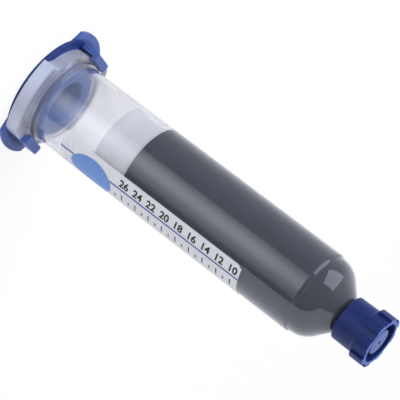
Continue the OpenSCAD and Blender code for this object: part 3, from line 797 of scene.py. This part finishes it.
badge_z, badge_turn = sum(BADGE_Z) / 2, sum(BADGE_TURNS) / 2
badge_len = BADGE_Z[1] - BADGE_Z[0]
badge_w = radians(BADGE_TURNS[1] - BADGE_TURNS[0]) * LABEL_OUT
round_it = arc(0, 0, 1, 0, 360, 64)[1:]
badge = printed("label_badge", [(x * badge_len / 2, y * badge_w / 2) for x, y in round_it])
dress(badge, inks["blue_ink"])
wrapped(badge, badge_turn, badge_z)

# The line stops where it meets the oval's edge
off_middle = 2 * (LINE_TURN - badge_turn) / (BADGE_TURNS[1] - BADGE_TURNS[0])
half_chord = badge_len / 2 * sqrt(1 - off_middle ** 2)
for low_z, high_z in ((LABEL_Z[0], badge_z - half_chord), (badge_z + half_chord, LABEL_Z[1])):
    x, y = (high_z - low_z) / 2, LINE_W / 2
    line = printed("label_line", [(-x, -y), (x, -y), (x, y), (-x, y)])
    dress(line, inks["dark_blue_ink"])
    wrapped(line, LINE_TURN, (low_z + high_z) / 2)

# The scale's numbers
for amount in range(LEAST_CC, MOST_CC + 1, CC_STEP):
    text = bpy.data.curves.new(f"number_{amount}", "FONT")
    text.body = str(amount)
    text.size = NUMBER_SIZE
    text.align_x = text.align_y = "CENTER"
    text.extrude = INK_T / 2
    text.offset = NUMBER_BOLD
    typed = placed(f"number_{amount}", text)
    shape = bpy.data.meshes.new_from_object(typed.evaluated_get(bpy.context.evaluated_depsgraph_get()))
    bpy.data.objects.remove(typed)
    number = placed(f"number_{amount}", shape)
    dress(number, inks["black_ink"])
    wrapped(number, NUMBER_TURN, scale_z(amount))

# The scale's ticks: lines of equal strokes, long at the numbers and short between them
strokes, given, stroke_inputs = shape_tree("scale_ticks", {
    "Count": "NodeSocketInt", "Spacing": "NodeSocketFloat", "Length": "NodeSocketFloat",
    "Ink": "NodeSocketMaterial"})
step = node(strokes, "ShaderNodeCombineXYZ", {"X": given["Spacing"]})
places = node(strokes, "GeometryNodeMeshLine", {"Count": given["Count"], "Offset": step.outputs[0]})
size = node(strokes, "ShaderNodeCombineXYZ", {"X": TICK_W, "Y": given["Length"], "Z": INK_T})
stroke = node(strokes, "GeometryNodeMeshCube", {"Size": size.outputs[0]})
stamped = node(strokes, "GeometryNodeInstanceOnPoints", {
    "Points": places.outputs[0], "Instance": stroke.outputs[0]})
real = node(strokes, "GeometryNodeRealizeInstances", {0: stamped.outputs[0]})
inked = node(strokes, "GeometryNodeSetMaterial", {0: real.outputs[0], "Material": given["Ink"]})
node(strokes, "NodeGroupOutput", {0: inked.outputs[0]})

for name, length, most in (("ticks", TICK_LEN, MOST_CC + 1), ("long_ticks", LONG_TICK_LEN, MOST_CC)):
    ticks = placed(name, bpy.data.meshes.new(name))
    run_tree(ticks, strokes, stroke_inputs, {
        "Count": (MOST_CC - LEAST_CC) // CC_STEP + 1, "Spacing": CC_STEP * CC_LEN,
        "Length": length, "Ink": inks["black_ink"]})
    wrapped(ticks, TICKS_TURN - degrees(length / 2 / LABEL_OUT), scale_z(most))


# Studio
# A white floor, a surround and a soft box. The floor and the surround show white to
# the eye and through the clear plastic, and light the part plainly. Glosses see the
# surround's walls, and not the floor.

FLOOR_REACH = 6
FLOOR_GREY, FLOOR_GLOW, GLOW_SHARE = "#F4F4F4", 1.04, 0.8
PLAIN_LIGHT, GLOSS_LIGHT = 0.65, 0.86

floor_mesh = bpy.data.meshes.new("floor")
floor_mesh.from_pydata(
    [(x * FLOOR_REACH, y * FLOOR_REACH, 0) for x, y in ((-1, -1), (1, -1), (1, 1), (-1, 1))],
    [], [(0, 1, 2, 3)])
floor = placed("floor", floor_mesh)
white_sheet, tree = material("white_studio_sheet")
path = node(tree, "ShaderNodeLightPath")
straight = node(tree, "ShaderNodeMath", {
    0: path.outputs["Is Camera Ray"], 1: path.outputs["Is Transmission Ray"]}, operation="MAXIMUM")
shown = node(tree, "ShaderNodeMath", {
    0: straight.outputs[0], 1: path.outputs["Is Glossy Ray"]}, operation="MAXIMUM")
share = node(tree, "ShaderNodeMath", {0: shown.outputs[0], 1: GLOW_SHARE}, operation="MULTIPLY")
matte = node(tree, "ShaderNodeBsdfDiffuse", {"Color": linear(FLOOR_GREY)})
glow = node(tree, "ShaderNodeEmission", {"Color": linear("#FFFFFF"), "Strength": FLOOR_GLOW})
sheet = node(tree, "ShaderNodeMixShader", {0: share.outputs[0], 1: matte.outputs[0], 2: glow.outputs[0]})
node(tree, "ShaderNodeOutputMaterial", {"Surface": sheet.outputs[0]})
dress(floor, white_sheet)
floor.visible_glossy = False

# The surround. Its glossy side has the white walls and dark gaps of a real studio:
# each entry is a compass turn from the camera's side, towards +X, and a brightness.
WALLS = [(-180, 1.0), (-160, 1.05), (-144, 0.95), (-130, 0.85), (-108, 0.58), (-84, 0.44), (-57, 0.33),
         (-33, 0.28), (49, 0.28), (51, 0.16), (56.5, 0.16), (57.5, 1.05), (95, 1.1), (150, 0.95), (180, 0.8)]
STRIP = [(-28, 0), (-26, 0.65), (-14, 1.45), (-8, 2.0), (0, 2.3), (6, 2.3), (12, 2.0), (17, 1.65), (23, 1.2),
         (29, 0.95), (35, 0.7), (40, 0.45), (45, 0.1), (47, 0)]
STRIP_FROM, STRIP_TO = -0.20, -0.31
RAMP_TOP = 3
COOL = (0.97, 0.99, 1.09, 1)
BLACK, WHITE = (0, 0, 0, 1), (1, 1, 1, 1)
world = bpy.data.worlds.new("studio_surround")
bpy.context.scene.world = world
world.use_nodes = True
tree = world.node_tree
tree.nodes.clear()
place = node(tree, "ShaderNodeTexCoord")
axes = node(tree, "ShaderNodeSeparateXYZ", {0: place.outputs["Generated"]})
towards = node(tree, "ShaderNodeMath", {0: axes.outputs["Y"], 1: -1.0}, operation="MULTIPLY")
turn = node(tree, "ShaderNodeMath", {0: axes.outputs["X"], 1: towards.outputs[0]}, operation="ARCTAN2")
compass = node(tree, "ShaderNodeMapRange", {"Value": turn.outputs[0], "From Min": -pi, "From Max": pi})


def brightness(stops):
    """A ramp over the compass whose grey is the brightness over RAMP_TOP."""
    ramp = node(tree, "ShaderNodeValToRGB", {"Fac": compass.outputs[0]})
    marks = ramp.color_ramp.elements
    while len(marks) < len(stops):
        marks.new(0.5)
    # The colours are set once every mark is in its place, since marks sort themselves
    for mark, (angle, level) in zip(marks, stops):
        mark.position = (angle + 180) / 360
    for mark, (angle, level) in zip(marks, stops):
        mark.color = [level / RAMP_TOP] * 3 + [1]
    return ramp.outputs["Color"]


# A bright strip, low down, adds to the walls
low_side = node(tree, "ShaderNodeMapRange", {
    "Value": axes.outputs["Z"], "From Min": STRIP_FROM, "From Max": STRIP_TO})
strip = node(tree, "ShaderNodeMix", {
    "Factor": low_side.outputs[0], 6: BLACK, 7: brightness(STRIP)}, data_type="RGBA")
both = node(tree, "ShaderNodeMix", {
    "Factor": 1.0, 6: brightness(WALLS), 7: strip.outputs[2]}, data_type="RGBA", blend_type="ADD")
cool = node(tree, "ShaderNodeMix", {
    "Factor": 1.0, 6: both.outputs[2], 7: COOL}, data_type="RGBA", blend_type="MULTIPLY")
gloss_side = node(tree, "ShaderNodeBackground", {
    "Color": cool.outputs[2], "Strength": GLOSS_LIGHT * RAMP_TOP})
plain_side = node(tree, "ShaderNodeBackground", {"Color": WHITE, "Strength": PLAIN_LIGHT})
white_side = node(tree, "ShaderNodeBackground", {"Color": WHITE, "Strength": 1.0})
path = node(tree, "ShaderNodeLightPath")
straight = node(tree, "ShaderNodeMath", {
    0: path.outputs["Is Camera Ray"], 1: path.outputs["Is Transmission Ray"]}, operation="MAXIMUM")
lit = node(tree, "ShaderNodeMixShader", {
    0: path.outputs["Is Glossy Ray"], 1: plain_side.outputs[0], 2: gloss_side.outputs[0]})
seen = node(tree, "ShaderNodeMixShader", {
    0: straight.outputs[0], 1: lit.outputs[0], 2: white_side.outputs[0]})
node(tree, "ShaderNodeOutputWorld", {"Surface": seen.outputs[0]})

# The key is a soft box turned on its corner, up on the left. Glosses see the lesser
# part of its light, as behind a polarising sheet, so it is made of two lamps.
KEY_TURN, KEY_HEIGHT, KEY_ROLL, KEY_DISTANCE = radians(-71.5), radians(32.3), radians(40), 1.0
KEY_SIZE, KEY_COLOUR = (0.88, 0.975), (0.93, 0.97, 1.12)
aim = Vector((0, 0, 0.1))
way = Vector((cos(KEY_HEIGHT) * sin(KEY_TURN), -cos(KEY_HEIGHT) * cos(KEY_TURN), sin(KEY_HEIGHT)))
facing_aim = way.to_track_quat("Z", "Y").to_matrix().to_4x4() @ Matrix.Rotation(KEY_ROLL, 4, "Z")
for name, energy, in_gloss in (("key", 4, True), ("key_unseen", 5, False)):
    key_data = bpy.data.lights.new(name, "AREA")
    key_data.shape = "RECTANGLE"
    key_data.size, key_data.size_y = KEY_SIZE
    key_data.energy = energy
    key_data.color = KEY_COLOUR
    key = placed(name, key_data)
    key.visible_glossy = in_gloss
    key.matrix_world = Matrix.Translation(aim + way * KEY_DISTANCE) @ facing_aim

# The camera looks down the tube from the outlet's side, rolled as the photograph is
CAMERA_LENS, CAMERA_DISTANCE = 207.25, 0.63419
CAMERA_TILT, CAMERA_ROLL = radians(20.043), radians(-127.275)
camera_data = bpy.data.cameras.new("camera")
camera_data.lens = CAMERA_LENS
camera_data.sensor_width = 36
camera_data.clip_end = 50
camera = placed("camera", camera_data)
bpy.context.scene.camera = camera
target = Vector((-0.00123, 0, 0.0562))
right = Vector((1, 0, 0))
up = Vector((0, sin(CAMERA_TILT), cos(CAMERA_TILT)))
back = Vector((0, -cos(CAMERA_TILT), sin(CAMERA_TILT)))
turned_right = cos(CAMERA_ROLL) * right - sin(CAMERA_ROLL) * up
turned_up = sin(CAMERA_ROLL) * right + cos(CAMERA_ROLL) * up
camera.matrix_world = (Matrix.Translation(target + back * CAMERA_DISTANCE)
                       @ Matrix((turned_right, turned_up, back)).transposed().to_4x4())

bpy.context.scene.view_settings.view_transform = "Standard"
